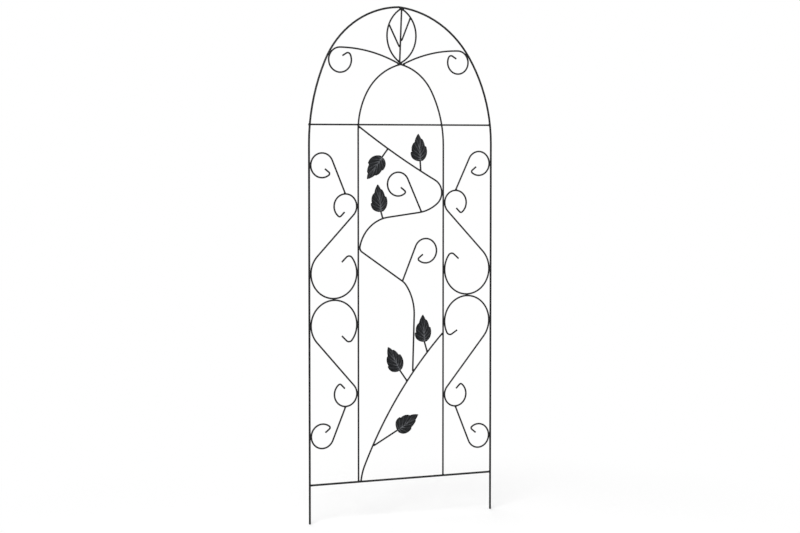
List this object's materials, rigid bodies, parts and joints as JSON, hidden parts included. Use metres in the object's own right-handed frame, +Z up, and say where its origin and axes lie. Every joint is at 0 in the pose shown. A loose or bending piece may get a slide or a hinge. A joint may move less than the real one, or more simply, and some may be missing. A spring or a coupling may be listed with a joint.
{
  "type": "garden trellis arch",
  "caption": "Flat arched garden trellis of bent round rod with side scrolls, a leafy vine and a crown leaf; its two legs push into soil and it carries climbing plants.",
  "frame": {"origin": "midway between the two feet, at the ground ends of the legs, on the outer hoop's middle plane", "axes": "+X across the panel to the right seen from the front, +Y to the back, +Z up"},
  "size_m": [0.6, 0.0123, 1.5],
  "materials": {
    "rod_coating": "satin",
    "leaf_coating": "satin"
  },
  "bodies": {
    "root": {"outer_hoop": "rod_coating", "bottom_rail": "rod_coating", "inner_hoop": "rod_coating", "top_crossbar": "rod_coating", "scroll_upper_left": "rod_coating", "scroll_upper_right": "rod_coating", "scroll_lower_left": "rod_coating", "scroll_lower_right": "rod_coating", "curl_upper_left": "rod_coating", "curl_upper_right": "rod_coating", "curl_lower_left": "rod_coating", "curl_lower_right": "rod_coating", "crown_scroll_left": "rod_coating", "crown_scroll_right": "rod_coating", "crown_midrib": "rod_coating", "crown_bow_left": "rod_coating", "crown_bow_right": "rod_coating", "crown_vein_left": "rod_coating", "crown_vein_right": "rod_coating", "vine_lower": "rod_coating", "vine_upper": "rod_coating", "tendril_upper": "rod_coating", "tendril_lower": "rod_coating", "leaf_stem_1": "rod_coating", "leaf_stem_2": "rod_coating", "leaf_stem_3": "rod_coating", "leaf_stem_4": "rod_coating", "leaf_stem_5": "rod_coating", "leaf_stem_6": "rod_coating", "leaf_1": "leaf_coating", "leaf_2": "leaf_coating", "leaf_3": "leaf_coating", "leaf_4": "leaf_coating", "leaf_5": "leaf_coating", "leaf_6": "leaf_coating"}
  },
  "joints": []
}
